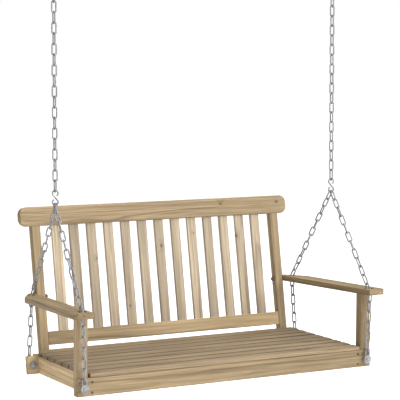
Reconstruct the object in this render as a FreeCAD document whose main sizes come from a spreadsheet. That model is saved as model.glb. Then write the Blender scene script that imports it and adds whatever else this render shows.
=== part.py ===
"""Wooden porch swing: a slatted two-seat bench hung by chains from two ceiling plates.

The origin is the middle of the four ceiling screw holes, on the ceiling plane: X runs along the
bench, -Y is the side that the sitter faces and +Z is up. The bench is drawn in frames of its own,
one on the apron's bottom edge, one on the leaning back and one on the underside of the arms.
"""
import FreeCAD, Part
import math
import os
import re

import Sketcher
from FreeCAD import Placement, Rotation, Vector

SIZES = {
    # Seat frame
    "BoardHeight": 61, "BoardThick": 22, "EdgeRound": 2.5, "ApronLength": 1150,
    "RailOuter": 530, "RailEnd": 478, "BearerEnd": 466,
    # Seat slats
    "SlatPitch": 58, "SlatWidth": 51, "SlatScrewIn": 28, "SlatThick": 13.5,
    "RearSlatWidth": 40, "RearSlatTilt": 7, "RearSlatClip": 20,
    "SeatEdgeRound": 4,
    # Leaning back, with heights measured along its slope
    "BackLean": 10.31, "BackFront": 441.3, "BackDepth": 25, "StileWidth": 34,
    "CrossbarHalf": 569, "CrossbarBottom": -3, "CrossbarHeight": 64, "CrispEdge": 1,
    "LowRailBottom": 92, "LowRailHeight": 48, "TenonLength": 20, "TenonThick": 10, "TenonShoulder": 6,
    "TopRailHalf": 548.5, "TopRailBottom": 514, "TopRailHeight": 68, "TopRailCorner": 26,
    "BackSlatPitch": 68.3, "BackSlatWidth": 36, "BackSlatThick": 12, "SlatEdgeRound": 2,
    "HousingDepth": 10,
    # Arms and their posts
    "ArmWidth": 70, "ArmThick": 20, "ArmInner": 536, "ArmFront": 49, "ArmLength": 563,
    "ArmBottom": 263.6, "ArmSlope": 1.35, "ArmSplay": 3, "ArmClip": 10, "ArmEdgeRound": 1.5,
    "ArmTaperStart": 471, "ArmTailWidth": 23,
    "PostInner": 536, "PostWidth": 39, "PostFront": 5, "PostDepth": 31, "PostTongue": 14,
    # Chain holes through the arms
    "FrontHoleX": 562, "FrontHoleY": 43, "FrontHoleWide": 34,
    "RearHoleX": 535.5, "RearHoleY": 516, "RearHoleWide": 28,
    # Bolts, washers, nuts, screws and dowels
    "BoltWide": 8, "BoltHeadWide": 18, "BoltHeadHigh": 5, "WasherWide": 30, "WasherThick": 2,
    "SpacerWide": 16, "SpacerLong": 8, "NutAcross": 13, "NutHigh": 6.5, "BoltTail": 3,
    "NutChamfer": 0.9, "RecessLong": 5.4, "RecessWide": 1.2, "RecessDeep": 2,
    "FrontBoltX": 555.5, "FrontBoltHigh": 28, "RearBoltX": 549,
    "ArmBoltSlope": 265, "ArmBoltBehind": 9.5, "ArmBoltGrip": 35,
    "ScrewWide": 4.5, "ScrewHeadWide": 9, "PilotDeep": 10, "CounterboreDeep": 25,
    "ApronScrewX": 523.5, "ApronScrewDeep": 30, "ApronScrewLow": 12, "ApronScrewHigh": 47,
    "SeatScrewX": 514, "SeatHeadWide": 8.5, "SeatHeadHigh": 3.5,
    "PostScrewDeep": 15, "PostScrewLow": 10, "PostScrewHigh": 50,
    "StileScrewDeep": 18, "StileScrewLow": 15, "StileScrewHigh": 45,
    "DowelWide": 8, "DowelShort": 12, "DowelLong": 18,
    # Chain, hooks and ceiling plates
    "LinkWire": 5, "LinkInside": 35.2, "LinkGap": 10, "LinkPlay": 0.3, "BendPlay": 0.3,
    "HookWire": 5.5, "HookLoop": 10.25, "HookSpan": 50.5, "HookSide": 2.9, "HookPlay": 0.8,
    "HookMouth": -62,
    "HangerX": 551, "HangerY": 223, "CeilingHigh": 1353.5, "BenchTilt": 0.5, "PivotPlay": 0.2,
    "PlateLong": 84, "PlateWide": 40, "PlateThick": 5, "PlateCorner": 8,
    "PlateHoleSpacing": 60, "PlateHoleWide": 7, "EyeWire": 8, "EyeLoop": 14, "EyeDrop": 35,
    "FrontBendX": 562, "FrontBendY": -11.6, "RearBendX": 535.5, "RearBendY": 468.4,
}
SEAT_SLATS = 8
BACK_SLATS = 13
MAIN_LINKS = 19
UPPER_LINKS = 12
LOWER_LINKS = 7

doc = FreeCAD.newDocument("PorchSwing")
sheet = doc.addObject("Spreadsheet::Sheet", "Sizes")
for row, (alias, number) in enumerate(SIZES.items(), start=1):
    sheet.set("A%d" % row, alias)
    sheet.set("B%d" % row, str(number))
    sheet.setAlias("B%d" % row, alias)
doc.recompute()

PARTS = []


# ---------------------------------------------------------------- sizes and expressions

def bound(text):
    """The expression with every alias (a word that starts with a capital) read from the sheet."""
    return re.sub(r"\b([A-Z]\w+)", r"Sizes.\1", text)


def size(text):
    """The number that an expression of sheet sizes stands for now."""
    answer = sheet.evalExpression(bound(text))
    return float(getattr(answer, "Value", answer))


def back_point(behind, along):
    """Bench (y, z) of a point given behind the back's front plane and along its slope."""
    return ("BackFront + (%s) * cos(BackLean * 1deg) + (%s) * sin(BackLean * 1deg)" % (behind, along),
            "(%s) * cos(BackLean * 1deg) - (%s) * sin(BackLean * 1deg)" % (along, behind))


def arm_point(point):
    """Arm-frame (y, z) of a bench (y, z) point."""
    ahead = "((%s) + ArmFront)" % point[0]
    above = "((%s) - ArmBottom)" % point[1]
    return ("%s * cos(ArmSlope * 1deg) - %s * sin(ArmSlope * 1deg)" % (ahead, above),
            "%s * sin(ArmSlope * 1deg) + %s * cos(ArmSlope * 1deg)" % (ahead, above))


def arm_underside(bench_y):
    """Bench height of the arms' underside at a distance behind the apron's face."""
    return "ArmBottom - ((%s) + ArmFront) * tan(ArmSlope * 1deg)" % bench_y


def box(left, low, right, high):
    """The four corners of an upright rectangle."""
    return [(left, low), (right, low), (right, high), (left, high)]


def sided(side, text):
    """An X position mirrored to its side of the bench, -1 for left and 1 for right."""
    return "%d * (%s)" % (side, text)


SIDES = (("left", -1), ("right", 1))
ALONG_X = Vector(1, 0, 0)
INTO_Y = Vector(0, 1, 0)
INTO_Z = Vector(0, 0, 1)

bench = Placement(Vector(0, -size("HangerY"), -size("CeilingHigh")),
                  Rotation(ALONG_X, size("BenchTilt")))
back = bench * Placement(Vector(0, size("BackFront"), 0), Rotation(ALONG_X, -size("BackLean")))
arms = bench * Placement(Vector(0, -size("ArmFront"), size("ArmBottom")),
                         Rotation(ALONG_X, -size("ArmSlope")))


# ---------------------------------------------------------------- PartDesign helpers

def new_body(label, place):
    """An empty body for one piece, drawn in the frame called place."""
    body = doc.addObject("PartDesign::Body", label)
    body.Label = label
    body.Placement = place
    PARTS.append(body)
    return body


def new_sketch(body, name, plane, lift, shift=("0", "0"), tilt="0"):
    """A sketch on the body's own plane, lifted along its normal, shifted in it and tilted about x."""
    sketch = body.newObject("Sketcher::SketchObject", body.Name + "_" + name)
    support = [item for item in body.Origin.OriginFeatures if item.Role == plane][0]
    sketch.AttachmentSupport = (support, [""])
    sketch.MapMode = "FlatFace"
    sketch.AttachmentOffset = Placement(Vector(0, 0, 0), Rotation(ALONG_X, size(tilt)))
    for axis, text in zip("xyz", (shift[0], shift[1], lift)):
        sketch.setExpression("AttachmentOffset.Base." + axis, bound(text))
    return sketch


def pin(sketch, rules, targets):
    """Adds the constraints and ties each target's one to its expression."""
    first = sketch.ConstraintCount
    sketch.addConstraint(rules)
    for index, text in targets:
        sketch.setExpression("Constraints[%d]" % (first + index), bound(text))


def outline(body, name, plane, loops, lift="0"):
    """Closed outlines whose corners are all tied to sheet sizes."""
    sketch = new_sketch(body, name, plane, lift)
    rules = []
    targets = []
    start = 0
    for corners in loops:
        count = len(corners)
        points = [Vector(size(x), size(y), 0) for x, y in corners]
        for i in range(count):
            sketch.addGeometry(Part.LineSegment(points[i], points[(i + 1) % count]))
        for i in range(count):
            rules.append(Sketcher.Constraint("Coincident", start + i, 2, start + (i + 1) % count, 1))
        for i, corner in enumerate(corners):
            for kind, text in zip(("DistanceX", "DistanceY"), corner):
                targets.append((len(rules), text))
                rules.append(Sketcher.Constraint(kind, -1, 1, start + i, 1, size(text)))
        start += count
    pin(sketch, rules, targets)
    return sketch


def circles(body, name, plane, centres, wide, lift="0", shift=("0", "0"), tilt="0"):
    """Circles of one diameter whose centres are tied to sheet sizes."""
    sketch = new_sketch(body, name, plane, lift, shift, tilt)
    rules = []
    targets = []
    for i, centre in enumerate(centres):
        middle = Vector(size(centre[0]), size(centre[1]), 0)
        sketch.addGeometry(Part.Circle(middle, Vector(0, 0, 1), size(wide) / 2))
        targets.append((len(rules), wide))
        rules.append(Sketcher.Constraint("Diameter", i, size(wide)))
        for kind, text in zip(("DistanceX", "DistanceY"), centre):
            targets.append((len(rules), text))
            rules.append(Sketcher.Constraint(kind, -1, 1, i, 3, size(text)))
    pin(sketch, rules, targets)
    return sketch


def run_feature(kind, body, sketch, length, way):
    """A pad or pocket: way is "forward", "reversed" or "both"."""
    feature = body.newObject("PartDesign::" + kind, sketch.Name + "_" + kind.lower())
    feature.Profile = sketch
    feature.setExpression("Length", bound(length))
    feature.SideType = "Symmetric" if way == "both" else "One side"
    feature.Reversed = way == "reversed"
    doc.recompute()
    return feature


def pad(body, sketch, length, way="forward"):
    """Adds wood along the sketch's normal."""
    return run_feature("Pad", body, sketch, length, way)


def pocket(body, sketch, length, way="forward"):
    """Cuts against the sketch's normal, and stops if nothing was cut."""
    before = body.Tip.Shape.Volume
    feature = run_feature("Pocket", body, sketch, length, way)
    if feature.Shape.Volume > before - 1:
        raise ValueError("%s cut nothing" % feature.Name)
    return feature


def screw_holes(body, sketch, flip=False):
    """Through holes with a countersink for flat-headed wood screws."""
    doc.recompute()
    before = body.Tip.Shape.Volume
    hole = body.newObject("PartDesign::Hole", sketch.Name + "_hole")
    hole.Profile = sketch
    hole.DepthType = "ThroughAll"
    hole.HoleCutType = "Countersink"
    hole.HoleCutCountersinkAngle = 90
    hole.setExpression("Diameter", bound("ScrewWide"))
    hole.setExpression("HoleCutDiameter", bound("ScrewHeadWide"))
    hole.Reversed = flip
    doc.recompute()
    if hole.Shape.Volume > before - 1:
        raise ValueError("%s cut nothing" % hole.Name)


def straight_edges(shape, way, least):
    """Names of the straight edges that run along a direction and are longer than least."""
    names = []
    for number, edge in enumerate(shape.Edges, start=1):
        if edge.Curve.TypeId != "Part::GeomLine" or edge.Length < least:
            continue
        if abs(edge.Curve.Direction.dot(way)) > 0.999:
            names.append("Edge%d" % number)
    return names


def level_edges(shape, beyond):
    """Names of the level straight edges whose middles lie further from the centre than beyond."""
    names = []
    for number, edge in enumerate(shape.Edges, start=1):
        if abs(edge.Curve.Direction.z) < 0.5 and abs(edge.CenterOfMass.x) > beyond:
            names.append("Edge%d" % number)
    return names


def ease(body, names, radius):
    """Rounds the named edges of the body's last feature."""
    base = body.Tip
    feature = body.newObject("PartDesign::Fillet", body.Name + "_round%d" % len(body.Group))
    feature.Base = (base, names)
    feature.setExpression("Radius", bound(radius))
    doc.recompute()


# ---------------------------------------------------------------- seat frame

SCREW_ROWS = ["SlatPitch * %d + SlatScrewIn" % number for number in range(SEAT_SLATS - 1)]


def front_apron():
    """Front board, with holes for the chain bolts, the rail screws and the post screws."""
    body = new_body("front_apron", bench)
    pad(body, outline(body, "face", "XZ_Plane", [box("-ApronLength / 2", "0", "ApronLength / 2",
                                                     "BoardHeight")]), "BoardThick", "reversed")
    ease(body, straight_edges(body.Tip.Shape, ALONG_X, size("RailOuter")), "EdgeRound")
    bolts = [(sided(side, "FrontBoltX"), "FrontBoltHigh") for name, side in SIDES]
    pocket(body, circles(body, "bolts", "XZ_Plane", bolts, "BoltWide"), "BoardThick * 4", "both")
    screws = [(sided(side, "ApronScrewX"), high) for name, side in SIDES
              for high in ("ApronScrewLow", "ApronScrewHigh")]
    screw_holes(body, circles(body, "screws", "XZ_Plane", screws, "ScrewWide"))
    posts = [(sided(side, "FrontBoltX"), high) for name, side in SIDES
             for high in ("PostScrewLow", "PostScrewHigh")]
    behind = circles(body, "posts", "XZ_Plane", posts, "ScrewWide", "-BoardThick")
    pocket(body, behind, "PostScrewDeep", "reversed")


def seat_rail(label, near, screw_x, rows, end):
    """A board on edge from the apron to behind the crossbar, which it crosses in a half lap."""
    body = new_body(label, bench)
    pad(body, outline(body, "side", "YZ_Plane", [box("BoardThick", "0", end, "BoardHeight")], near),
        "BoardThick")
    ease(body, straight_edges(body.Tip.Shape, INTO_Y, size("BearerEnd / 2")), "EdgeRound")
    middle = "CrossbarBottom + CrossbarHeight / 2"
    lap = [back_point("-BoardThick", "-BoardHeight"), back_point("0", "-BoardHeight"),
           back_point("0", middle), back_point("-BoardThick", middle)]
    pocket(body, outline(body, "lap", "YZ_Plane", [lap]), "RailOuter * 3", "both")
    screws = [(screw_x, row) for row in rows]
    pocket(body, circles(body, "screws", "XY_Plane", screws, "ScrewWide"), "BoardHeight * 4", "both")
    pocket(body, circles(body, "heads", "XY_Plane", screws, "ScrewHeadWide"), "CounterboreDeep",
           "reversed")
    return body


def side_rails():
    """The two outer rails, which also take the apron's and the stiles' screws."""
    for name, side in SIDES:
        near = "RailOuter - BoardThick" if side > 0 else "-RailOuter"
        body = seat_rail("side_rail_" + name, near, sided(side, "SeatScrewX"), SCREW_ROWS, "RailEnd")
        ends = [(sided(side, "ApronScrewX"), high) for high in ("ApronScrewLow", "ApronScrewHigh")]
        front = circles(body, "front", "XZ_Plane", ends, "ScrewWide", "-BoardThick")
        pocket(body, front, "ApronScrewDeep")
        beside = [back_point("BackDepth / 2", along) for along in ("StileScrewLow", "StileScrewHigh")]
        inner = circles(body, "stile", "YZ_Plane", beside, "ScrewWide",
                        sided(side, "RailOuter - BoardThick"))
        pocket(body, inner, "StileScrewDeep", "reversed" if side > 0 else "forward")


def centre_bearer():
    """The hidden middle rail that carries the slats' centres."""
    seat_rail("centre_bearer", "-BoardThick / 2", "0", SCREW_ROWS, "BearerEnd")


def seat_slats():
    """Seven full slats, and a rear one that lies up against the proud edge of the crossbar."""
    screw_xs = [sided(side, "SeatScrewX") for name, side in SIDES] + ["0"]
    for number in range(1, SEAT_SLATS + 1):
        rear = number == SEAT_SLATS
        width = "RearSlatWidth" if rear else "SlatWidth"
        tilt = size("RearSlatTilt") if rear else 0
        start = Vector(0, size("SlatPitch") * (number - 1), size("BoardHeight"))
        body = new_body("seat_slat_%d" % number, bench * Placement(start, Rotation(ALONG_X, tilt)))
        pad(body, outline(body, "end", "YZ_Plane", [box("0", "0", width, "SlatThick")]),
            "RailOuter * 2", "both")
        if rear:
            corners = [[(sided(side, "RailOuter - RearSlatClip"), width),
                        (sided(side, "RailOuter"), width),
                        (sided(side, "RailOuter"), width + " - RearSlatClip")] for name, side in SIDES]
            pocket(body, outline(body, "clip", "XY_Plane", corners), "SlatThick * 4", "both")
        ease(body, straight_edges(body.Tip.Shape, ALONG_X, size("RailOuter")), "SeatEdgeRound")
        if not rear:
            pilots = [(x, "SlatScrewIn") for x in screw_xs]
            pocket(body, circles(body, "pilots", "XY_Plane", pilots, "ScrewWide"), "PilotDeep",
                   "reversed")


# ---------------------------------------------------------------- back

SLAT_COLUMNS = ["BackSlatPitch * %d" % (number - BACK_SLATS // 2) for number in range(BACK_SLATS)]
HOUSINGS = [box(x + " - BackSlatWidth / 2", "(BackDepth - BackSlatThick) / 2",
                x + " + BackSlatWidth / 2", "(BackDepth + BackSlatThick) / 2") for x in SLAT_COLUMNS]
TENON = box("(BackDepth - TenonThick) / 2", "LowRailBottom + TenonShoulder",
            "(BackDepth + TenonThick) / 2", "LowRailBottom + LowRailHeight - TenonShoulder")
STILE_INNER = "RailOuter - BoardThick - StileWidth"
DOWEL_XS = [STILE_INNER + " + StileWidth / 4", STILE_INNER + " + StileWidth * 3 / 4"]


def rear_crossbar():
    """The board in front of the stiles that carries the rear chain bolts on its long ends."""
    body = new_body("rear_crossbar", back)
    top = "CrossbarBottom + CrossbarHeight"
    middle = "CrossbarBottom + CrossbarHeight / 2"
    pad(body, outline(body, "face", "XZ_Plane",
                      [box("-CrossbarHalf", "CrossbarBottom", "CrossbarHalf", top)]), "BoardThick")
    ease(body, straight_edges(body.Tip.Shape, ALONG_X, size("RailOuter")), "CrispEdge")
    above = top + " + BoardThick"
    laps = [box(near, middle, near + " + BoardThick", above)
            for near in ("-RailOuter", "-BoardThick / 2", "RailOuter - BoardThick")]
    pocket(body, outline(body, "laps", "XZ_Plane", laps), "BoardThick * 4", "both")
    bolts = [(sided(side, "RearBoltX"), middle) for name, side in SIDES]
    pocket(body, circles(body, "bolts", "XZ_Plane", bolts, "BoltWide"), "BoardThick * 4", "both")


def stiles():
    """The back's uprights, screwed to the insides of the side rails and cut level at the foot."""
    for name, side in SIDES:
        body = new_body("stile_" + name, back)
        near = STILE_INNER if side > 0 else "BoardThick - RailOuter"
        profile = [("0", "0"), ("BackDepth", "BackDepth * tan(BackLean * 1deg)"),
                   ("BackDepth", "TopRailBottom"), ("0", "TopRailBottom")]
        pad(body, outline(body, "side", "YZ_Plane", [profile], near), "StileWidth")
        ease(body, straight_edges(body.Tip.Shape, INTO_Z, size("TopRailBottom / 2")), "EdgeRound")
        inner = sided(side, STILE_INNER)
        outward = "reversed" if side > 0 else "forward"
        pocket(body, outline(body, "mortise", "YZ_Plane", [TENON], inner), "TenonLength", outward)
        tops = [(sided(side, x), "BackDepth / 2") for x in DOWEL_XS]
        pocket(body, circles(body, "dowels", "XY_Plane", tops, "DowelWide", "TopRailBottom"),
               "DowelLong")
        bolt = circles(body, "bolt", "YZ_Plane", [("ArmBoltBehind", "ArmBoltSlope")], "BoltWide")
        pocket(body, bolt, "RailOuter * 3", "both")
        screws = [("BackDepth / 2", along) for along in ("StileScrewLow", "StileScrewHigh")]
        screw_holes(body, circles(body, "screws", "YZ_Plane", screws, "ScrewWide", inner), side > 0)


def lower_back_rail():
    """The rail between the stiles, with a tenon at each end and a housing for every back slat."""
    body = new_body("lower_back_rail", back)
    top = "LowRailBottom + LowRailHeight"
    pad(body, outline(body, "face", "XZ_Plane", [box("-(%s)" % STILE_INNER, "LowRailBottom",
                                                     STILE_INNER, top)]), "BackDepth", "reversed")
    ease(body, straight_edges(body.Tip.Shape, ALONG_X, size("RailOuter")), "EdgeRound")
    for name, side in SIDES:
        tenon = outline(body, "tenon_" + name, "YZ_Plane", [TENON], sided(side, STILE_INNER))
        pad(body, tenon, "TenonLength", "forward" if side > 0 else "reversed")
    pocket(body, outline(body, "housings", "XY_Plane", HOUSINGS, top), "HousingDepth")


def top_rail():
    """The wide round-cornered rail on top of the stiles."""
    body = new_body("top_rail", back)
    pad(body, outline(body, "face", "XZ_Plane", [box("-TopRailHalf", "TopRailBottom", "TopRailHalf",
                                                     "TopRailBottom + TopRailHeight")]),
        "BackDepth", "reversed")
    ease(body, straight_edges(body.Tip.Shape, INTO_Y, size("BackDepth / 2")), "TopRailCorner")
    ease(body, straight_edges(body.Tip.Shape, ALONG_X, size("RailOuter")), "EdgeRound")
    pocket(body, outline(body, "housings", "XY_Plane", HOUSINGS, "TopRailBottom"), "HousingDepth",
           "reversed")
    pegs = [(sided(side, x), "BackDepth / 2") for name, side in SIDES for x in DOWEL_XS]
    pocket(body, circles(body, "dowels", "XY_Plane", pegs, "DowelWide", "TopRailBottom"),
           "DowelLong", "reversed")


def back_slats():
    """Flat upright slats, housed at both ends."""
    for number, column in enumerate(SLAT_COLUMNS, start=1):
        place = back * Placement(Vector(size(column), 0, 0), Rotation())
        body = new_body("back_slat_%02d" % number, place)
        face = box("-BackSlatWidth / 2", "LowRailBottom + LowRailHeight - HousingDepth",
                   "BackSlatWidth / 2", "TopRailBottom + HousingDepth")
        pad(body, outline(body, "face", "XZ_Plane", [face], "-(BackDepth - BackSlatThick) / 2"),
            "BackSlatThick", "reversed")
        ease(body, straight_edges(body.Tip.Shape, INTO_Z, size("TopRailBottom / 2")), "SlatEdgeRound")


# ---------------------------------------------------------------- arms

POST_MIDDLE = "PostFront + PostDepth / 2"
POST_PEG = "(%s + ArmFront) / cos(ArmSlope * 1deg)" % POST_MIDDLE


def arm_outline(side):
    """Plan of an arm: splayed outwards, clipped at the front and tapered to its tail."""
    splay = "(ArmSplay * 1deg)"
    far = "ArmTaperStart * cos%s" % splay

    def corner(across, along):
        return (sided(side, "ArmInner + (%s) * cos%s - (%s) * sin%s" % (across, splay, along, splay)),
                "(%s) * sin%s + (%s) * cos%s" % (across, splay, along, splay))

    stile_face = "RailOuter - BoardThick"
    meets = "(ArmInner - (%s)) / tan%s" % (stile_face, splay)
    return [corner("0", "0"), corner("ArmWidth - ArmClip", "0"), corner("ArmWidth", "ArmClip"),
            corner("ArmWidth", "ArmTaperStart"),
            (sided(side, stile_face + " + ArmTailWidth"), "ArmLength"),
            (sided(side, stile_face), "ArmLength"), (sided(side, stile_face), meets)]


def arm_rests():
    """Arms with round holes that the chains pass through."""
    for name, side in SIDES:
        body = new_body("arm_" + name, arms)
        pad(body, outline(body, "plan", "XY_Plane", [arm_outline(side)]), "ArmThick")
        ease(body, level_edges(body.Tip.Shape, size("RailOuter - BoardThick") + 1), "ArmEdgeRound")
        front = [(sided(side, "FrontHoleX"), "FrontHoleY")]
        pocket(body, circles(body, "front", "XY_Plane", front, "FrontHoleWide"), "ArmThick * 4", "both")
        rear = [(sided(side, "RearHoleX"), "RearHoleY")]
        pocket(body, circles(body, "rear", "XY_Plane", rear, "RearHoleWide"), "ArmThick * 4", "both")
        peg = [(sided(side, "FrontBoltX"), POST_PEG)]
        pocket(body, circles(body, "dowel", "XY_Plane", peg, "DowelWide"), "DowelShort", "reversed")
        bolt = [arm_point(back_point("ArmBoltBehind", "ArmBoltSlope"))]
        pocket(body, circles(body, "bolt", "YZ_Plane", bolt, "BoltWide",
                             sided(side, "RailOuter - BoardThick")),
               "ArmBoltGrip", "reversed" if side > 0 else "forward")


def arm_posts():
    """Front posts that stand on the apron and lap down behind it."""
    post_back = "PostFront + PostDepth"
    tongue = post_back + " - PostTongue"
    for name, side in SIDES:
        body = new_body("arm_post_" + name, bench)
        near = "PostInner" if side > 0 else "-PostInner - PostWidth"
        profile = [(tongue, "0"), (post_back, "0"), (post_back, arm_underside(post_back)),
                   ("PostFront", arm_underside("PostFront")), ("PostFront", "BoardHeight"),
                   (tongue, "BoardHeight")]
        pad(body, outline(body, "side", "YZ_Plane", [profile], near), "PostWidth")
        ease(body, straight_edges(body.Tip.Shape, INTO_Z, size("BoardHeight * 2")), "EdgeRound")
        bolt = [(sided(side, "FrontBoltX"), "FrontBoltHigh")]
        pocket(body, circles(body, "bolt", "XZ_Plane", bolt, "BoltWide"), "PostDepth * 4", "both")
        screws = [(sided(side, "FrontBoltX"), high) for high in ("PostScrewLow", "PostScrewHigh")]
        screw_holes(body, circles(body, "screws", "XZ_Plane", screws, "ScrewWide",
                                  "-(%s)" % post_back), True)
        peg = circles(body, "dowel", "XY_Plane", [(sided(side, "FrontBoltX"), "0")], "DowelWide",
                      arm_underside(POST_MIDDLE), ("0", POST_MIDDLE), "-ArmSlope")
        pocket(body, peg, "DowelLong")


# ---------------------------------------------------------------- fasteners

def add_group(label, solids):
    """One node that holds a group of separate solids, placed already."""
    feature = doc.addObject("Part::Feature", label)
    feature.Label = label
    feature.Shape = Part.makeCompound(solids)
    PARTS.append(feature)


def put(solid, frame, point, way):
    """A copy of a solid drawn along +Z, stood at a frame's point and turned to a direction."""
    copy = solid.copy()
    copy.Placement = frame * Placement(point, Rotation(Vector(0, 0, 1), way))
    return copy


def ring(wide, bore, high):
    """A flat ring, such as a washer or spacer."""
    return Part.makeCylinder(wide / 2, high).cut(Part.makeCylinder(bore / 2, high))


def hex_nut():
    """A plain hexagon nut with chamfered corners and no thread."""
    high = size("NutHigh")
    across = size("NutAcross") / math.sqrt(3)
    corners = [Vector(across * math.cos(turn * math.pi / 3), across * math.sin(turn * math.pi / 3), 0)
               for turn in range(7)]
    prism = Part.Face(Part.makePolygon(corners)).extrude(Vector(0, 0, high))
    blank = Part.makeCylinder(across, high)
    rims = [edge for edge in blank.Edges if edge.Curve.TypeId == "Part::GeomCircle"]
    blank = blank.makeChamfer(size("NutChamfer"), rims)
    return prism.common(blank).cut(Part.makeCylinder(size("BoltWide") / 2, high))


def cross_recess():
    """The cross-shaped hole for the screwdriver, from the origin up +Z."""
    long = size("RecessLong")
    wide = size("RecessWide")
    deep = size("RecessDeep")
    slot = Part.makeBox(long, wide, deep, Vector(-long / 2, -wide / 2, 0))
    return slot.fuse(Part.makeBox(wide, long, deep, Vector(-wide / 2, -long / 2, 0)))


def domed_bolt(grip):
    """A round-headed bolt: the head's flat is at the origin and the shank runs up +Z."""
    high = size("BoltHeadHigh")
    half = size("BoltHeadWide") / 2
    ball = (half * half + high * high) / (2 * high)
    dome = Part.makeSphere(ball, Vector(0, 0, ball - high))
    dome = dome.common(Part.makeCylinder(half, high, Vector(0, 0, -high)))
    return dome.fuse(Part.makeCylinder(size("BoltWide") / 2, grip)).removeSplitter()


def flat_screw(long):
    """A countersunk wood screw: the head's face is at the origin and the shank runs up +Z."""
    head = size("ScrewHeadWide") / 2
    shank = size("ScrewWide") / 2
    cone = Part.makeCone(head, shank, head - shank)
    return cone.fuse(Part.makeCylinder(shank, long)).removeSplitter().cut(cross_recess())


def seat_screw():
    """A round-headed screw: the shoulder is at the origin and the shank runs up +Z."""
    high = size("SeatHeadHigh")
    head = Part.makeCylinder(size("SeatHeadWide") / 2, high, Vector(0, 0, -high))
    long = size("BoardHeight - CounterboreDeep + PilotDeep")
    recess = cross_recess()
    recess.translate(Vector(0, 0, -high))
    return head.fuse(Part.makeCylinder(size("ScrewWide") / 2, long)).removeSplitter().cut(recess)


def chain_bolts():
    """Bolts, washers, spacers and nuts that hold the lower chain ends to the two cross boards."""
    stand = size("SpacerLong + LinkWire + LinkPlay")
    washer = size("WasherThick")
    post_back = size("PostFront + PostDepth")
    high = size("FrontBoltHigh")
    middle = size("CrossbarBottom + CrossbarHeight / 2")
    thick = size("BoardThick")
    nut = size("NutHigh")
    disc = ring(size("WasherWide"), size("BoltWide"), washer)
    sleeve = ring(size("SpacerWide"), size("BoltWide"), size("SpacerLong"))
    ends = nut + size("BoltTail")
    front_bolt = domed_bolt(washer + stand + post_back + washer + ends)
    rear_bolt = domed_bolt(washer + thick + stand + washer + ends)
    groups = {"front_chain_bolts": [], "rear_chain_bolts": [], "chain_washers": [],
              "chain_spacers": [], "chain_nuts": []}
    for name, side in SIDES:
        x = side * size("FrontBoltX")

        def front(y):
            return bench, Vector(x, y, high), INTO_Y

        groups["front_chain_bolts"].append(put(front_bolt, *front(-stand - washer)))
        groups["chain_washers"].append(put(disc, *front(-stand - washer)))
        groups["chain_spacers"].append(put(sleeve, *front(-size("SpacerLong"))))
        groups["chain_washers"].append(put(disc, *front(post_back)))
        groups["chain_nuts"].append(put(hex_nut(), *front(post_back + washer)))
        x_rear = side * size("RearBoltX")

        def rear(y):
            return back, Vector(x_rear, y, middle), INTO_Y

        groups["rear_chain_bolts"].append(put(rear_bolt, *rear(-thick - washer)))
        groups["chain_washers"].append(put(disc, *rear(-thick - washer)))
        groups["chain_spacers"].append(put(sleeve, *rear(0)))
        groups["chain_washers"].append(put(disc, *rear(stand)))
        groups["chain_nuts"].append(put(hex_nut(), *rear(stand + washer)))
    for label, solids in groups.items():
        add_group(label, solids)


def arm_bolts():
    """Hanger bolts screwed into the arms, with a washer and nut on each stile's inner face."""
    washer = size("WasherThick")
    out = washer + size("NutHigh + BoltTail")
    studs = []
    discs = []
    nuts = []
    disc = ring(size("BoltWide") * 2, size("BoltWide"), washer)
    stud = Part.makeCylinder(size("BoltWide") / 2, out + size("StileWidth + ArmBoltGrip"))
    for name, side in SIDES:
        face = size(STILE_INNER)
        way = Vector(side, 0, 0)

        def at(x):
            return back, Vector(side * x, size("ArmBoltBehind"), size("ArmBoltSlope")), way

        studs.append(put(stud, *at(face - out)))
        discs.append(put(disc, *at(face - washer)))
        nuts.append(put(hex_nut(), *at(face - washer - size("NutHigh"))))
    add_group("arm_bolts", studs)
    add_group("arm_washers", discs)
    add_group("arm_nuts", nuts)


def wood_screws():
    """The apron, post, stile and seat screws, each kind in a node of its own."""
    apron = []
    post = []
    stile = []
    seat = []
    post_back = size("PostFront + PostDepth")
    for name, side in SIDES:
        for high in ("ApronScrewLow", "ApronScrewHigh"):
            point = Vector(side * size("ApronScrewX"), 0, size(high))
            apron.append(put(flat_screw(size("BoardThick + ApronScrewDeep")), bench, point, INTO_Y))
        for high in ("PostScrewLow", "PostScrewHigh"):
            point = Vector(side * size("FrontBoltX"), post_back, size(high))
            post.append(put(flat_screw(size("PostTongue + PostScrewDeep")), bench, point, -INTO_Y))
        for along in ("StileScrewLow", "StileScrewHigh"):
            point = Vector(side * size(STILE_INNER), size("BackDepth / 2"), size(along))
            long = size("StileWidth + StileScrewDeep")
            stile.append(put(flat_screw(long), back, point, Vector(side, 0, 0)))
    for row in SCREW_ROWS:
        for x in (-size("SeatScrewX"), 0, size("SeatScrewX")):
            seat.append(put(seat_screw(), bench, Vector(x, size(row), size("CounterboreDeep")), INTO_Z))
    add_group("apron_screws", apron)
    add_group("post_screws", post)
    add_group("stile_screws", stile)
    add_group("seat_screws", seat)


def dowels():
    """Pegs that hold the top rail on the stiles and the arms on the posts."""
    pegs = []
    rail_peg = Part.makeCylinder(size("DowelWide") / 2, size("DowelLong * 2"))
    post_peg = Part.makeCylinder(size("DowelWide") / 2, size("DowelLong + DowelShort"))
    for name, side in SIDES:
        for x in DOWEL_XS:
            foot = Vector(side * size(x), size("BackDepth / 2"), size("TopRailBottom - DowelLong"))
            pegs.append(put(rail_peg, back, foot, INTO_Z))
        foot = Vector(side * size("FrontBoltX"), size(POST_PEG), -size("DowelLong"))
        pegs.append(put(post_peg, arms, foot, INTO_Z))
    add_group("dowels", pegs)


# ---------------------------------------------------------------- chains, hooks and plates

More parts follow.
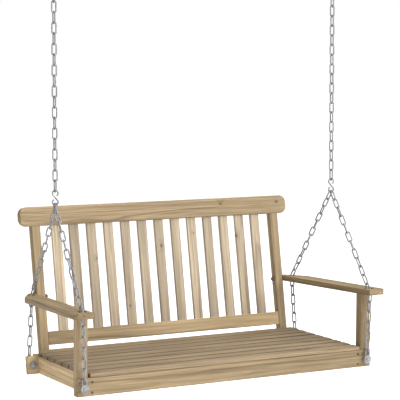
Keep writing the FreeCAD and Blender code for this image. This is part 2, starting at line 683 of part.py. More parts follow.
def chain_link():
    """One welded long link: round wire, long way along Z and flat in the XZ plane."""
    wire = size("LinkWire / 2")
    bend = size("(LinkGap + LinkWire) / 2")
    straight = size("LinkInside - LinkGap")
    room = bend + size("LinkWire")
    link = None
    for side in (-1, 1):
        bar = Part.makeCylinder(wire, straight, Vector(side * bend, 0, -straight / 2))
        link = bar if link is None else link.fuse(bar)
        top = side * straight / 2
        end = Part.makeTorus(bend, wire, Vector(0, 0, top), INTO_Y)
        beyond = Part.makeBox(2 * room, 2 * room, room, Vector(-room, -room, min(top, top + side * room)))
        link = link.fuse(end.common(beyond))
    link = link.removeSplitter()
    wire_length = 2 * straight + 2 * math.pi * bend
    if abs(link.Volume - math.pi * wire ** 2 * wire_length) > 1:
        raise ValueError("the chain link is not a closed loop")
    return link


LINK = chain_link()


def chain_run(start, finish, count, normal, twist=0):
    """Links between two joints: each is turned a quarter from the last, plus its share of twist."""
    along = (finish - start).normalize()
    pitch = start.distanceToPoint(finish) / count
    step = 90 + (twist / (count - 1) if count > 1 else 0)
    links = []
    for number in range(count):
        flat = (normal - along * normal.dot(along)).normalize()
        flat = Rotation(along, step * number).multVec(flat)
        turn = Rotation(flat.cross(along), flat, along, "ZYX")
        link = LINK.copy()
        link.Placement = Placement(start + along * (pitch * (number + 0.5)), turn)
        links.append(link)
    print("run of %d links, pitch %.2f" % (count, pitch))
    return links


def hanger_heights():
    """Heights of the eye's wire, the chain's two ends and the hook's two wires."""
    eye = -size("EyeDrop")
    chain_top = eye + size("EyeWire / 2 + PivotPlay")
    chain_foot = chain_top - MAIN_LINKS * size("LinkInside - PivotPlay")
    hook_top = chain_foot + size("HookWire / 2 + PivotPlay")
    return eye, chain_top, chain_foot, hook_top, hook_top - size("HookSpan")


def bench_chains():
    """Front and rear chains: up through the arm's hole, then sloping to the hook's lower loop."""
    hook_low = hanger_heights()[4]
    rise = size("HookLoop") - math.sqrt(size("HookLoop") ** 2 - size("HookSide") ** 2)
    pitch = size("LinkInside - PivotPlay")
    cradle = size("(LinkWire + PivotPlay) / 2")
    for name, side in SIDES:
        ends = {}
        bolt = Vector(side * size("FrontBoltX"), -size("SpacerLong + (LinkWire + LinkPlay) / 2"),
                      size("FrontBoltHigh - BoltWide / 2"))
        bend = Vector(side * size("FrontBendX"), size("FrontBendY"), 0)
        flat = Vector(bend.x - bolt.x, bend.y - bolt.y, 0)
        bend.z = bolt.z + math.sqrt((LOWER_LINKS * pitch) ** 2 - flat.Length ** 2)
        raised = bend + (bend - bolt).normalize() * size("BendPlay")
        lower = chain_run(bench.multVec(bolt), bench.multVec(raised), LOWER_LINKS, INTO_Y)
        pin = raised + (bend - bolt).normalize() * cradle
        ends["front"] = (lower, bench.multVec(pin), size("HookSide"))
        foot = Vector(side * size("RearBoltX"), size("SpacerLong + (LinkWire + LinkPlay) / 2"),
                      size("CrossbarBottom + CrossbarHeight / 2 - BoltWide / 2"))
        first = chain_run(back.multVec(foot), back.multVec(foot + Vector(0, 0, pitch)), 1, INTO_Y)
        start = bench.inverse().multVec(back.multVec(foot + Vector(0, 0, pitch)))
        bend = Vector(side * size("RearBendX"), size("RearBendY"), 0)
        flat = Vector(bend.x - start.x, bend.y - start.y, 0)
        bend.z = start.z + math.sqrt(((LOWER_LINKS - 1) * pitch) ** 2 - flat.Length ** 2)
        raised = bend + (bend - start).normalize() * size("BendPlay")
        lower = first + chain_run(bench.multVec(start), bench.multVec(raised), LOWER_LINKS - 1, ALONG_X)
        pin = raised + (bend - start).normalize() * cradle
        ends["rear"] = (lower, bench.multVec(pin), -size("HookSide"))
        for where, (lower, pin, beside) in ends.items():
            wire = Vector(side * (size("HangerX") + beside), 0, hook_low + rise)
            rise_way = (wire - pin).normalize()
            finish = wire + rise_way * size("HookWire / 2 + HookPlay")
            upper = chain_run(pin - rise_way * cradle, finish, UPPER_LINKS, ALONG_X, 90)
            add_group("%s_chain_%s" % (where, name), lower + upper)


def s_hook():
    """An S-shaped hook in the XZ plane, with the middle of its top wire at the origin."""
    loop = size("HookLoop")
    wire = size("HookWire / 2")
    centre = size("HookSpan / 2") - loop
    touch = math.asin(loop / centre)
    reach = math.sqrt(centre ** 2 - loop ** 2)
    leave = Vector(-reach * math.sin(touch), 0, reach * math.cos(touch))

    def on_loop(lift, turn):
        return Vector(loop * math.cos(turn), 0, lift + loop * math.sin(turn))

    mouth = math.radians(size("HookMouth"))
    ends = (on_loop(centre, mouth), on_loop(-centre, math.pi + mouth))
    upper = Part.Arc(ends[0], on_loop(centre, math.pi / 2), leave)
    lower = Part.Arc(-leave, on_loop(-centre, -math.pi / 2), ends[1])
    path = Part.Wire([upper.toShape(), Part.makeLine(leave, -leave), lower.toShape()])
    start = Vector(math.sin(mouth), 0, -math.cos(mouth))
    section = Part.Wire([Part.makeCircle(wire, ends[0], start)])
    hook = path.makePipeShell([section], True, True)
    hook.translate(Vector(0, 0, -size("HookSpan / 2")))
    return hook


def hangers():
    """The upright chains from the ceiling plates and the hooks at their feet."""
    eye, chain_top, chain_foot, hook_top, hook_low = hanger_heights()
    hook = s_hook()
    for name, side in SIDES:
        x = side * size("HangerX")
        add_group("main_chain_" + name, chain_run(Vector(x, 0, chain_foot), Vector(x, 0, chain_top),
                                                  MAIN_LINKS, ALONG_X))
        placed = hook.copy()
        placed.translate(Vector(x, 0, hook_top))
        add_group("s_hook_" + name, [placed])


def ceiling_plates():
    """Plates screwed to the ceiling joist, each with a welded ring under it."""
    for name, side in SIDES:
        place = Placement(Vector(side * size("HangerX"), 0, -size("PlateThick")), Rotation())
        body = new_body("ceiling_plate_" + name, place)
        pad(body, outline(body, "plan", "XY_Plane", [box("-PlateWide / 2", "-PlateLong / 2",
                                                         "PlateWide / 2", "PlateLong / 2")]),
            "PlateThick")
        ease(body, straight_edges(body.Tip.Shape, INTO_Z, size("PlateThick") / 2), "PlateCorner")
        loop = body.newObject("PartDesign::AdditiveTorus", body.Name + "_ring")
        loop.Placement = Placement(Vector(0, 0, size("PlateThick - EyeDrop + EyeLoop")),
                                   Rotation(ALONG_X, 90))
        loop.setExpression("Radius1", bound("EyeLoop"))
        loop.setExpression("Radius2", bound("EyeWire / 2"))
        doc.recompute()
        holes = [("0", "PlateHoleSpacing / 2"), ("0", "-PlateHoleSpacing / 2")]
        pocket(body, circles(body, "holes", "XY_Plane", holes, "PlateHoleWide"), "PlateThick * 4",
               "both")


# ---------------------------------------------------------------- build, check and write

front_apron()
side_rails()
centre_bearer()
seat_slats()
rear_crossbar()
stiles()
lower_back_rail()
top_rail()
back_slats()
arm_rests()
arm_posts()
chain_bolts()
arm_bolts()
wood_screws()
dowels()
bench_chains()
hangers()
ceiling_plates()
doc.recompute()

for item in doc.Objects:
    if "Invalid" in item.State or "Error" in item.State:
        raise ValueError("%s failed: %s" % (item.Name, item.State))
os.makedirs("parts", exist_ok=True)
for part in PARTS:
    if part.Shape.isNull() or not part.Shape.isValid():
        raise ValueError("%s has no valid shape" % part.Label)
for part in PARTS:
    part.Shape.exportStep("parts/%s.step" % part.Label)
print("%d parts" % len(PARTS))
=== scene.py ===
"""Looks of a wooden porch swing that hangs on zinc-plated chains from two ceiling plates.

Every board gets solid-wood grain that runs along it, with growth rings round a pith of its own, so
that faces, edges and end grain agree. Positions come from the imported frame, in metres.
"""
import math
import random

import bpy
import numpy as np
from mathutils import Matrix, Vector

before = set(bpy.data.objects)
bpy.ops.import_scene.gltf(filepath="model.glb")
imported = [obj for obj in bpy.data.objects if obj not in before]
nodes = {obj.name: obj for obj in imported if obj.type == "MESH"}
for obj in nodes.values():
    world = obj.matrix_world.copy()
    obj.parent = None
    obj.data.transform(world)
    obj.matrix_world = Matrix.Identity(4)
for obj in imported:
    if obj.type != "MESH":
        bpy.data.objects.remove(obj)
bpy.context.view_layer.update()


# ---------------------------------------------------------------- directions of the boards

# Angles in degrees, as the CAD model has them.
BENCH_TILT = 0.5
BACK_LEAN = 10.31
ARM_SLOPE = 1.35
ARM_SPLAY = 3
REAR_SLAT_TILT = 7
X = Vector((1, 0, 0))
Y = Vector((0, 1, 0))
Z = Vector((0, 0, 1))


def turned(degrees, axis="X"):
    """A turn about one axis."""
    return Matrix.Rotation(math.radians(degrees), 3, axis)


BENCH = turned(BENCH_TILT)
BACK = BENCH @ turned(-BACK_LEAN)
ARM = BENCH @ turned(-ARM_SLOPE)
REAR_SLAT = BENCH @ turned(REAR_SLAT_TILT)


def laid(turn, along, across):
    """Board axes as columns: along the grain, across the wide face and through the board."""
    axes = Matrix((along, across, along.cross(across))).transposed()
    return turn @ axes


# ---------------------------------------------------------------- colours

def linear(red, green, blue):
    """A display colour, 0 to 255, as a linear colour with alpha."""
    out = []
    for value in (red, green, blue):
        share = value / 255
        out.append(share / 12.92 if share < 0.04045 else ((share + 0.055) / 1.055) ** 2.4)
    return (*out, 1.0)


def toned(colour, gain):
    """A linear colour made lighter or darker."""
    return (*(value * gain for value in colour[:3]), 1.0)


# Each timber is its early wood and its late wood.
RAIL_TIMBER = (linear(150, 130, 98), linear(98, 78, 49))
TOP_TIMBER = (linear(150, 130, 98), linear(120, 101, 74))
SLAT_TIMBER = (linear(174, 158, 134), linear(130, 112, 88))
SEAT_TIMBER = (linear(146, 127, 99), linear(98, 79, 52))
KNOT_COLOUR = linear(84, 58, 32)
ZINC_LIGHT = linear(152, 153, 154)
ZINC_DARK = linear(114, 115, 117)
SCREW_LIGHT = linear(92, 82, 70)
SCREW_DARK = linear(48, 42, 36)
WHITE = (1, 1, 1, 1)
FLOOR_GREY = (0.9, 0.9, 0.9, 1)
WARM_LIGHT = (1, 0.9, 0.76, 1)
COOL_LIGHT = (0.98, 0.98, 1, 1)


# ---------------------------------------------------------------- node helpers

class Graph:
    """Short calls that add nodes to one node tree and give back their output sockets."""

    def __init__(self, tree):
        self.tree = tree

    def node(self, kind, **settings):
        """A new node of one kind with its settings."""
        node = self.tree.nodes.new("ShaderNode" + kind)
        for name, value in settings.items():
            setattr(node, name, value)
        return node

    def feed(self, socket, value):
        """Links a socket to another one, or sets its number, vector or colour."""
        if isinstance(value, bpy.types.NodeSocket):
            self.tree.links.new(value, socket)
        else:
            socket.default_value = value

    def fed(self, node, *values):
        """The node's first output, once its first inputs are fed."""
        for socket, value in zip(node.inputs, values):
            self.feed(socket, value)
        return node.outputs[0]

    def maths(self, operation, *values):
        """Arithmetic on numbers. MULTIPLY_ADD takes a number, its factor and what is added."""
        return self.fed(self.node("Math", operation=operation), *values)

    def length(self, first, second):
        """The length of a vector from two parts at right angles."""
        squares = self.maths("ADD", self.maths("MULTIPLY", first, first),
                             self.maths("MULTIPLY", second, second))
        return self.maths("SQRT", squares)

    def vector(self, operation, *values):
        """Arithmetic on vectors."""
        return self.fed(self.node("VectorMath", operation=operation), *values)

    def dot(self, first, second):
        """The dot product of two vectors, as a number."""
        node = self.node("VectorMath", operation="DOT_PRODUCT")
        self.fed(node, first, second)
        return node.outputs["Value"]

    def scaled(self, colour, gain):
        """A colour or vector times a number."""
        node = self.node("VectorMath", operation="SCALE")
        self.feed(node.inputs[0], colour)
        self.feed(node.inputs["Scale"], gain)
        return node.outputs[0]

    def changed(self, colour, share, change):
        """A colour times one plus a share of a change."""
        return self.scaled(colour, self.maths("MULTIPLY_ADD", share, change, 1.0))

    def parts(self, place):
        """The three numbers of a vector."""
        node = self.node("SeparateXYZ")
        self.feed(node.inputs[0], place)
        return node.outputs

    def smooth(self, value, start, end, low=0.0, high=1.0):
        """Eases from low to high while value goes from start to end."""
        node = self.node("MapRange", interpolation_type="SMOOTHSTEP")
        return self.fed(node, value, start, end, low, high)

    def noise(self, place, stretch, seed, detail):
        """Noise from 0 to 1 with its own number of waves per metre along each axis."""
        node = self.node("TexNoise", noise_dimensions="4D")
        self.feed(node.inputs["Vector"], self.vector("MULTIPLY", place, stretch))
        self.feed(node.inputs["W"], seed)
        self.feed(node.inputs["Scale"], 1.0)
        self.feed(node.inputs["Detail"], detail)
        return node.outputs[0]

    def mix(self, share, first, second):
        """One colour at a share of 0, the other at 1."""
        node = self.node("Mix", data_type="RGBA")
        colour_inputs = [socket for socket in node.inputs if socket.type == "RGBA"]
        colour_outputs = [socket for socket in node.outputs if socket.type == "RGBA"]
        self.feed(node.inputs[0], share)
        self.feed(colour_inputs[0], first)
        self.feed(colour_inputs[1], second)
        return colour_outputs[0]


def new_material(name):
    """A material with an empty tree but for a Principled shader and its output."""
    material = bpy.data.materials.new(name)
    material.use_nodes = True
    graph = Graph(material.node_tree)
    material.node_tree.nodes.clear()
    shader = graph.node("BsdfPrincipled")
    output = graph.node("OutputMaterial")
    graph.feed(output.inputs["Surface"], shader.outputs[0])
    return material, graph, shader


def bump(graph, shader, height, depth, strength):
    """Relief of a given depth in metres."""
    node = graph.node("Bump")
    graph.feed(node.inputs["Strength"], strength)
    graph.feed(node.inputs["Distance"], depth)
    graph.feed(node.inputs["Height"], height)
    graph.feed(shader.inputs["Normal"], node.outputs[0])


def finish_with(node, material):
    """Puts one material in all of a CAD node's slots."""
    for slot in node.material_slots:
        slot.material = material


# ---------------------------------------------------------------- wood

WOOD_INPUTS = {
    "Place": "Vector", "Facing": "Vector", "Along": "Vector", "Half": "Vector", "Pith": "Vector",
    "Spacing": "Float", "Seed": "Float", "Painted Gap Shade": "Float", "Fade": "Float",
    "Early": "Color", "Late": "Color", "Knot 1": "Vector", "Knot 2": "Vector",
}
WOOD_OUTPUTS = {"Colour": "Color", "Roughness": "Float", "Height": "Float"}

# Each noise: waves per metre along, across and through the board, what is added to the board's
# seed, and its detail.
WOOD_NOISES = {
    "drift": ((1.3, 7, 7), 0.0, 3.0),
    "wander": ((4.5, 30, 30), 0.0, 3.0),
    "patches": ((2.2, 16, 16), 5.0, 2.0),
    "fibres": ((26, 900, 900), 0.0, 2.0),
    "streaks": ((5, 210, 210), 9.0, 3.0),
    "clouds": ((3, 11, 11), 17.0, 2.0),
    "bands": ((1.2, 60, 60), 41.0, 2.0),
    "pores": ((55, 1300, 1300), 23.0, 1.0),
    "rubbed": ((30, 60, 60), 31.0, 2.0),
}

# What four of them do to the wood's colour: the noise's range, then the gains at its two ends.
NOISE_GAINS = (
    ("fibres", 0.25, 0.75, 0.93, 1.05),
    ("streaks", 0.3, 0.72, 1.1, 0.7),
    ("clouds", 0.3, 0.7, 0.92, 1.06),
    ("bands", 0.35, 0.68, 1.05, 0.84),
)

# A knot is longer along the grain. Its core and the wood that bends round it fade out between
# these distances, counted in its radius.
KNOT_SQUEEZE = 0.62
KNOT_CORE = (0.45, 1.15)
KNOT_HALO = (0.6, 4.5)

# Metres that the rings are moved by slow drift, by quick wander and by a knot.
RING_DRIFT = 0.034
RING_WANDER = 0.006
RING_KNOT_BEND = 0.009

# Shares of a ring over which its late wood darkens and where it stops.
LATE_WOOD_RISE = (0.2, 0.86)
LATE_WOOD_FALL = (0.9, 1.0)

# Most rings are faint and a few are dark, more so in some patches. Four numbers are a noise's
# range and the results at its two ends.
RING_WEIGHT_POWER = 2.2
RING_WEIGHT_SPAN = 0.75
RING_WEIGHT_LEAST = 0.12
PATCH_WEIGHTS = (0.25, 0.75, 0.35, 1.25)

# Only the peaks of the pore noise show. Pores and the wood round a knot take on this share of the
# late wood's colour, and a knot's core takes on this share of its own.
PORE_RANGE = (0.66, 0.76)
PORE_DARKNESS = 0.32
HALO_DARKNESS = 0.28
CORE_DARKNESS = 0.85

# Worn edges and painted shade on the narrow sides of seat slats, where the gaps between them are,
# with the distances in metres over which they die away.
WEAR_REACH = (0.0006, 0.0042)
WEAR_PATCHES = (0.3, 0.62, 0.35, 1.0)
WEAR_CHANGE = -0.13
PAINTED_GAP_SHADE_REACH = (0.0012, 0.0036)

# End grain shows where a face looks along the board.
END_GRAIN_FACING = (0.6, 0.9)
END_GRAIN_CHANGE = -0.07

# Roughness, and shares of each thing in the relief.
ROUGH_BASE = 0.52
ROUGH_STREAKS = 0.16
ROUGH_END_GRAIN = 0.12
ROUGH_CORE = -0.12
HEIGHT_LATE_WOOD = 0.35
HEIGHT_FIBRES = 0.5
HEIGHT_PORES = -0.6


def knot_shares(graph, x, y, knot):
    """How far a point is inside a knot's core and inside the wood that bends round it."""
    middle_x, middle_y, radius = graph.parts(knot)
    apart_x = graph.maths("MULTIPLY", graph.maths("SUBTRACT", x, middle_x), KNOT_SQUEEZE)
    apart_y = graph.maths("SUBTRACT", y, middle_y)
    radii = graph.maths("DIVIDE", graph.length(apart_x, apart_y), radius)
    return graph.smooth(radii, *KNOT_CORE, 1.0, 0.0), graph.smooth(radii, *KNOT_HALO, 1.0, 0.0)


def late_wood(graph, given, noises, halo, x, y, z):
    """How much of a point is dark late wood, from growth rings round the board's pith."""
    pith_lean, pith_y, pith_z = graph.parts(given["Pith"])
    radius = graph.length(graph.maths("SUBTRACT", y, pith_y), graph.maths("SUBTRACT", z, pith_z))
    radius = graph.maths("MULTIPLY_ADD", x, pith_lean, radius)
    radius = graph.maths("MULTIPLY_ADD", noises["drift"], RING_DRIFT, radius)
    radius = graph.maths("MULTIPLY_ADD", noises["wander"], RING_WANDER, radius)
    radius = graph.maths("MULTIPLY_ADD", halo, RING_KNOT_BEND, radius)
    rings = graph.maths("DIVIDE", radius, given["Spacing"])
    share = graph.maths("FRACT", rings)
    late = graph.maths("MULTIPLY", graph.smooth(share, *LATE_WOOD_RISE),
                       graph.smooth(share, *LATE_WOOD_FALL, 1.0, 0.0))
    which = graph.node("TexWhiteNoise", noise_dimensions="1D")
    graph.feed(which.inputs["W"], graph.maths("FLOOR", rings))
    weight = graph.maths("POWER", which.outputs["Value"], RING_WEIGHT_POWER)
    weight = graph.maths("MULTIPLY_ADD", weight, RING_WEIGHT_SPAN, RING_WEIGHT_LEAST)
    weight = graph.maths("MULTIPLY", weight, graph.smooth(noises["patches"], *PATCH_WEIGHTS))
    return graph.maths("MULTIPLY", late, weight)


def worn_with_painted_light_and_shade(graph, given, rubbed, colour, x, y, z):
    """The colour with worn edges, with painted light that makes it lighter or darker along the
    board, and with painted shade on the narrow sides, where the gaps between seat slats are.
    """
    gaps = [graph.maths("SUBTRACT", half, graph.maths("ABSOLUTE", value))
            for half, value in zip(graph.parts(given["Half"]), (x, y, z))]
    least = graph.maths("MINIMUM", gaps[0], gaps[1])
    most = graph.maths("MAXIMUM", gaps[0], gaps[1])
    to_edge = graph.maths("MAXIMUM", least, graph.maths("MINIMUM", most, gaps[2]))
    worn = graph.maths("MULTIPLY", graph.smooth(to_edge, *WEAR_REACH, 1.0, 0.0),
                       graph.smooth(rubbed, *WEAR_PATCHES))
    colour = graph.changed(colour, worn, WEAR_CHANGE)
    # Painted light: the colour gets lighter or darker along the board, as if more light falls on
    # one end.
    colour = graph.changed(colour, given["Fade"], x)
    # Painted shade: the long narrow sides get darker, standing for the shade in the gaps between
    # seat slats.
    painted_gap_shade = graph.maths("MULTIPLY", graph.smooth(gaps[1], *PAINTED_GAP_SHADE_REACH, 1.0, 0.0), given["Painted Gap Shade"])
    return graph.scaled(colour, graph.maths("SUBTRACT", 1.0, painted_gap_shade))


def wood_group():
    """Solid softwood: rings round a pith, dark late wood, fibres, knots, worn edges, end grain."""
    group = bpy.data.node_groups.new("board_wood", "ShaderNodeTree")
    for sockets, way in ((WOOD_INPUTS, "INPUT"), (WOOD_OUTPUTS, "OUTPUT")):
        for name, kind in sockets.items():
            group.interface.new_socket(name, in_out=way, socket_type="NodeSocket" + kind)
    graph = Graph(group)
    given = group.nodes.new("NodeGroupInput").outputs
    made = group.nodes.new("NodeGroupOutput").inputs
    place = given["Place"]
    x, y, z = graph.parts(place)
    noises = {}
    for name, (waves, shift, detail) in WOOD_NOISES.items():
        noises[name] = graph.noise(place, waves, graph.maths("ADD", given["Seed"], shift), detail)

    first_core, first_halo = knot_shares(graph, x, y, given["Knot 1"])
    second_core, second_halo = knot_shares(graph, x, y, given["Knot 2"])
    core = graph.maths("MAXIMUM", first_core, second_core)
    halo = graph.maths("MAXIMUM", first_halo, second_halo)

    late = late_wood(graph, given, noises, halo, x, y, z)
    colour = graph.mix(late, given["Early"], given["Late"])
    for name, start, end, low, high in NOISE_GAINS:
        colour = graph.scaled(colour, graph.smooth(noises[name], start, end, low, high))

    pores = graph.smooth(noises["pores"], *PORE_RANGE)
    colour = graph.mix(graph.maths("MULTIPLY", pores, PORE_DARKNESS), colour, given["Late"])
    colour = graph.mix(graph.maths("MULTIPLY", halo, HALO_DARKNESS), colour, given["Late"])
    colour = graph.mix(graph.maths("MULTIPLY", core, CORE_DARKNESS), colour, KNOT_COLOUR)
    colour = worn_with_painted_light_and_shade(graph, given, noises["rubbed"], colour, x, y, z)

    ends = graph.maths("ABSOLUTE", graph.dot(given["Facing"], given["Along"]))
    ends = graph.smooth(ends, *END_GRAIN_FACING)
    colour = graph.changed(colour, ends, END_GRAIN_CHANGE)

    rough = graph.maths("MULTIPLY_ADD", noises["streaks"], ROUGH_STREAKS, ROUGH_BASE)
    rough = graph.maths("MULTIPLY_ADD", ends, ROUGH_END_GRAIN, rough)
    rough = graph.maths("MULTIPLY_ADD", core, ROUGH_CORE, rough)
    height = graph.maths("MULTIPLY", late, HEIGHT_LATE_WOOD)
    height = graph.maths("MULTIPLY_ADD", noises["fibres"], HEIGHT_FIBRES, height)
    height = graph.maths("MULTIPLY_ADD", pores, HEIGHT_PORES, height)
    graph.feed(made["Colour"], colour)
    graph.feed(made["Roughness"], rough)
    graph.feed(made["Height"], height)
    return group


WOOD = wood_group()
WOOD_IOR = 1.45
WOOD_SPECULAR = 0.35
WOOD_RELIEF = 0.0004
WOOD_RELIEF_STRENGTH = 0.5

# A place far outside every board, for a knot that a board hasn't got.
NO_KNOT = (9.0, 9.0, 0.001)
KNOTS_A_BOARD = 2

# Ranges of the numbers that are drawn for each board. Lengths are in metres, and the pith's lean
# is in metres for each metre of board.
PITH_LEAN = 0.012
PITH_ASIDE = 0.03
PITH_DEPTH = (0.035, 0.1)
TONE_RANGE = (0.95, 1.05)
RING_SPACING = (0.005, 0.009)
SEED_RANGE = (0, 60)

wooden = set()


def board(name, axes, timber, gain=1.0, knots=(), wild=1.0, painted_gap_shade=0.0, painted_light_slope=0.0):
    """Gives a CAD board its own piece of wood.

    Knots are (along, across, radius) from its middle. A wild board's rings run out of it faster.
    Its long narrow sides are made darker by a share, as painted shade for the gaps between seat
    slats, and it is made lighter by a share in each metre along the grain, as painted light.
    """
    node = nodes[name]
    dice = random.Random(name)
    turn = np.array(axes)
    points = np.array([vertex.co for vertex in node.data.vertices]) @ turn
    low = points.min(axis=0)
    high = points.max(axis=0)
    middle = turn @ ((low + high) / 2)

    material, graph, shader = new_material("wood_" + name)
    where = graph.node("TexCoord")
    mapped = graph.node("Mapping", vector_type="TEXTURE")
    graph.feed(mapped.inputs["Vector"], where.outputs["Object"])
    graph.feed(mapped.inputs["Location"], tuple(middle))
    graph.feed(mapped.inputs["Rotation"], tuple(axes.to_euler("XYZ")))

    side = dice.choice((-1, 1))
    pith_lean = dice.uniform(-PITH_LEAN, PITH_LEAN) * wild
    pith_aside = dice.uniform(-PITH_ASIDE, PITH_ASIDE)
    pith_depth = side * dice.uniform(*PITH_DEPTH)
    tone = gain * dice.uniform(*TONE_RANGE)
    spacing = dice.uniform(*RING_SPACING)
    seed = dice.uniform(*SEED_RANGE)
    picked = list(knots) + [NO_KNOT] * (KNOTS_A_BOARD - len(knots))
    early, late = timber
    given = {
        "Place": mapped.outputs[0],
        "Facing": where.outputs["Normal"],
        "Along": tuple(axes.col[0]),
        "Half": tuple((high - low) / 2),
        "Pith": (pith_lean, pith_aside, pith_depth),
        "Spacing": spacing,
        "Seed": seed,
        "Painted Gap Shade": painted_gap_shade,
        "Fade": painted_light_slope,
        "Early": toned(early, tone),
        "Late": toned(late, tone),
        "Knot 1": picked[0],
        "Knot 2": picked[1],
    }
    wood = graph.node("Group", node_tree=WOOD)
    for socket, value in given.items():
        graph.feed(wood.inputs[socket], value)
    graph.feed(shader.inputs["Base Color"], wood.outputs["Colour"])
    graph.feed(shader.inputs["Roughness"], wood.outputs["Roughness"])
    shader.inputs["IOR"].default_value = WOOD_IOR
    shader.inputs["Specular IOR Level"].default_value = WOOD_SPECULAR
    bump(graph, shader, wood.outputs["Height"], WOOD_RELIEF, WOOD_RELIEF_STRENGTH)
    finish_with(node, material)
    wooden.add(name)


# ---------------------------------------------------------------- metal

# The clouds are this many times as large as the grain. Roughness runs from smoothest to roughest,
# counted from the metal's own.
METAL_CLOUD_SIZE = 6
METALLIC = 0.35
METAL_DETAIL = 3.0
METAL_CLOUD_SEED = 1.0
METAL_GRAIN_SEED = 4.0
METAL_CLOUD_WEIGHT = 0.6
METAL_GRAIN_WEIGHT = 0.4
METAL_DARK_RANGE = (0.35, 0.65)
METAL_ROUGH_RANGE = (0.3, 0.7)
METAL_SMOOTHEST = -0.08
METAL_ROUGHEST = 0.1
METAL_RELIEF = 0.00015
METAL_RELIEF_STRENGTH = 0.35


def metal(name, light, dark, rough, speckle):
    """Plated steel with cloudy patches and a fine grain, in speckles per metre."""
    material, graph, shader = new_material(name)
    place = graph.node("TexCoord").outputs["Object"]
    coarse = (speckle / METAL_CLOUD_SIZE,) * 3
    clouds = graph.noise(place, coarse, METAL_CLOUD_SEED, METAL_DETAIL)
    grain = graph.noise(place, (speckle,) * 3, METAL_GRAIN_SEED, METAL_DETAIL)
    clouded = graph.maths("MULTIPLY", clouds, METAL_CLOUD_WEIGHT)
    mottle = graph.maths("MULTIPLY_ADD", grain, METAL_GRAIN_WEIGHT, clouded)
    darkness = graph.smooth(mottle, *METAL_DARK_RANGE)
    roughness = graph.smooth(mottle, *METAL_ROUGH_RANGE,
                             rough + METAL_SMOOTHEST, rough + METAL_ROUGHEST)
    graph.feed(shader.inputs["Base Color"], graph.mix(darkness, light, dark))
    graph.feed(shader.inputs["Roughness"], roughness)
    shader.inputs["Metallic"].default_value = METALLIC
    bump(graph, shader, grain, METAL_RELIEF, METAL_RELIEF_STRENGTH)
    return material


ZINC = metal("zinc_steel", ZINC_LIGHT, ZINC_DARK, rough=0.5, speckle=420)
DARK_STEEL = metal("screw_steel", SCREW_LIGHT, SCREW_DARK, rough=0.45, speckle=700)


# ---------------------------------------------------------------- every node gets its finish

ACROSS = laid(BENCH, X, Z)
RAKED = laid(BACK, X, Z)
UPRIGHT = laid(BACK, Z, X)
FORE_AND_AFT = laid(BENCH, Y, Z)
STANDING = laid(BENCH, Z, X)

# Gains set how light each board looks. They are partly the wood's own tone, which differs from
# board to board, and partly painted light, where boards that the studio light leaves dim are made
# lighter.
TOP_RAIL_KNOTS = ((0.263, 0.012, 0.005), (0.508, 0.010, 0.006))
# Painted light: the front apron, the top rail and the lower back rail get lighter or darker along
# their length, as if more light falls on one end.
board("front_apron", ACROSS, RAIL_TIMBER, gain=0.93, wild=1.6, painted_light_slope=-0.2)
# The rear crossbar's high gain is partly its paler wood and partly painted light, for the dim light
# that falls on it.
board("rear_crossbar", RAKED, RAIL_TIMBER, gain=1.6)
board("top_rail", RAKED, TOP_TIMBER, knots=TOP_RAIL_KNOTS, wild=0.7, painted_light_slope=-0.12)
board("lower_back_rail", RAKED, RAIL_TIMBER, gain=1.32, wild=2.4, painted_light_slope=0.62)
board("centre_bearer", FORE_AND_AFT, RAIL_TIMBER)

# Gains of the seat slats from the front one to the rear one. All but the front one get painted
# shade on their sides, where the gaps between slats are.
SEAT_GAINS = (1.09, 0.98, 0.95, 0.85, 0.91, 0.8, 0.78, 0.9)
SEAT_PAINTED_GAP_SHADE = 0.55
for number, gain in enumerate(SEAT_GAINS, start=1):
    turn = REAR_SLAT if number == len(SEAT_GAINS) else BENCH
    painted_gap_shade = 0.0 if number == 1 else SEAT_PAINTED_GAP_SHADE
    board("seat_slat_%d" % number, laid(turn, X, Y), SEAT_TIMBER, gain, painted_gap_shade=painted_gap_shade)

# Gains of the back slats from left to right, and the knots of the slats that have one.
SLAT_GAINS = (1.25, 0.86, 0.78, 0.98, 0.95, 0.88, 0.89, 0.96, 1.11, 0.83, 1.05, 1.1, 1.03)
SLAT_KNOTS = {
    3: (0.06, 0.01, 0.003),
    5: (-0.12, -0.006, 0.004),
    7: (0.09, 0.003, 0.005),
    9: (0.13, 0.005, 0.003),
    12: (0.11, -0.016, 0.004),
}
for number, gain in enumerate(SLAT_GAINS, start=1):
    knots = [SLAT_KNOTS[number]] if number in SLAT_KNOTS else []
    board("back_slat_%02d" % number, UPRIGHT, SLAT_TIMBER, gain, knots, wild=0.8)

# Painted light: the left post is made lighter and the right one darker, to even out how differently
# the studio light falls on them.
POST_GAIN = 1.1
POST_PAINTED_LIGHT_CHANGE = 0.2
for name, side in (("left", -1), ("right", 1)):
    arm_turn = ARM @ turned(side * ARM_SPLAY, "Z")
    # The side rails' high gain is partly their paler wood and partly painted light, for the dim
    # light that falls on them.
    board("side_rail_" + name, FORE_AND_AFT, RAIL_TIMBER, gain=2.1)
    board("stile_" + name, UPRIGHT, RAIL_TIMBER)
    board("arm_" + name, laid(arm_turn, Y, X), RAIL_TIMBER, gain=0.92)
    board("arm_post_" + name, STANDING, RAIL_TIMBER, gain=POST_GAIN - POST_PAINTED_LIGHT_CHANGE * side)
board("dowels", STANDING, SLAT_TIMBER)

DARK_NODES = ("apron_screws", "post_screws", "stile_screws", "seat_screws", "arm_bolts",
              "arm_nuts", "arm_washers")
for name, node in nodes.items():
    if name not in wooden:
        finish_with(node, DARK_STEEL if name in DARK_NODES else ZINC)


# ---------------------------------------------------------------- stage, light and camera

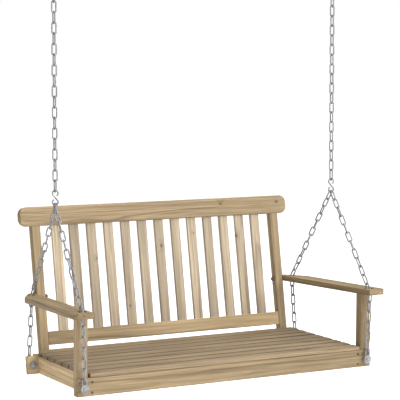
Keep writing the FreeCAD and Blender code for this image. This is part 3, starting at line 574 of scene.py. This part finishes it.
# Lengths in metres, powers in watts, camera angles in radians and its lens in millimetres.
FLOOR_HEIGHT = -1.73
FLOOR_HALF = 40.0
FLOOR_ROUGHNESS = 0.9
FLOOR_GLOW = 0.6
SWING_MIDDLE = Vector((0, 0.05, -0.95))

KEY_PLACE = (2.8, -4.4, 1.7)
KEY_SIZE = 3.0
KEY_POWER = 245
TOP_PLACE = (0.0, 0.0, 3.2)
TOP_SIZE = 4.0
TOP_POWER = 200

# The world is brightest towards this direction. Its light strength and its tint change over
# these ranges of how far a direction faces it.
BRIGHT_SIDE = (0.72, -0.6, 0.35)
WORLD_LIGHT = (-0.7, 0.85, 0.08, 0.95)
WORLD_TINT = (-0.8, 0.5)

CAMERA_PLACE = (-2.8032, -5.0746, -0.2429)
CAMERA_DOWN = 0.087
CAMERA_RIGHT = 0.505
CAMERA_LENS = 149.37
CAMERA_SENSOR = 36
CAMERA_REACH = 200


def pale_floor():
    """A plain pale floor under the swing."""
    mesh = bpy.data.meshes.new("floor")
    corners = [(-1, -1), (1, -1), (1, 1), (-1, 1)]
    mesh.from_pydata([(x * FLOOR_HALF, y * FLOOR_HALF, FLOOR_HEIGHT) for x, y in corners], [],
                     [(0, 1, 2, 3)])
    floor = bpy.data.objects.new("floor", mesh)
    bpy.context.scene.collection.objects.link(floor)
    material, _, shader = new_material("floor")
    shader.inputs["Base Color"].default_value = FLOOR_GREY
    shader.inputs["Roughness"].default_value = FLOOR_ROUGHNESS
    shader.inputs["Specular IOR Level"].default_value = 0.0
    shader.inputs["Emission Color"].default_value = WHITE
    shader.inputs["Emission Strength"].default_value = FLOOR_GLOW
    mesh.materials.append(material)


def soft_light(name, place, size, power):
    """A square studio light that faces the swing."""
    lamp = bpy.data.lights.new(name, "AREA")
    lamp.shape = "SQUARE"
    lamp.size = size
    lamp.energy = power
    light = bpy.data.objects.new(name, lamp)
    light.location = place
    light.rotation_euler = (SWING_MIDDLE - light.location).to_track_quat("-Z", "Y").to_euler()
    bpy.context.scene.collection.objects.link(light)


def studio_world():
    """White to look at. Its light is brighter from the right and the front."""
    world = bpy.data.worlds.new("studio")
    world.use_nodes = True
    world.node_tree.nodes.clear()
    graph = Graph(world.node_tree)
    facing = graph.dot(graph.node("TexCoord").outputs["Generated"], BRIGHT_SIDE)
    strength = graph.smooth(facing, *WORLD_LIGHT)
    tint = graph.mix(graph.smooth(facing, *WORLD_TINT), WARM_LIGHT, COOL_LIGHT)
    lit = graph.fed(graph.node("Background"), tint, strength)
    seen = graph.fed(graph.node("Background"), WHITE, 1.0)
    sight = graph.node("LightPath").outputs["Is Camera Ray"]
    mixed = graph.fed(graph.node("MixShader"), sight, lit, seen)
    graph.feed(graph.node("OutputWorld").inputs["Surface"], mixed)
    bpy.context.scene.world = world


def photo_camera():
    """The camera at the product picture's angle: to the left of the swing and a little above it."""
    camera = bpy.data.objects.new("camera", bpy.data.cameras.new("camera"))
    camera.data.lens = CAMERA_LENS
    camera.data.sensor_width = CAMERA_SENSOR
    camera.data.clip_end = CAMERA_REACH
    camera.location = CAMERA_PLACE
    camera.rotation_euler = (math.pi / 2 - CAMERA_DOWN, 0, -CAMERA_RIGHT)
    bpy.context.scene.collection.objects.link(camera)
    bpy.context.scene.camera = camera


pale_floor()
soft_light("key", KEY_PLACE, KEY_SIZE, KEY_POWER)
soft_light("top", TOP_PLACE, TOP_SIZE, TOP_POWER)
studio_world()
photo_camera()
bpy.context.scene.view_settings.view_transform = "Standard"
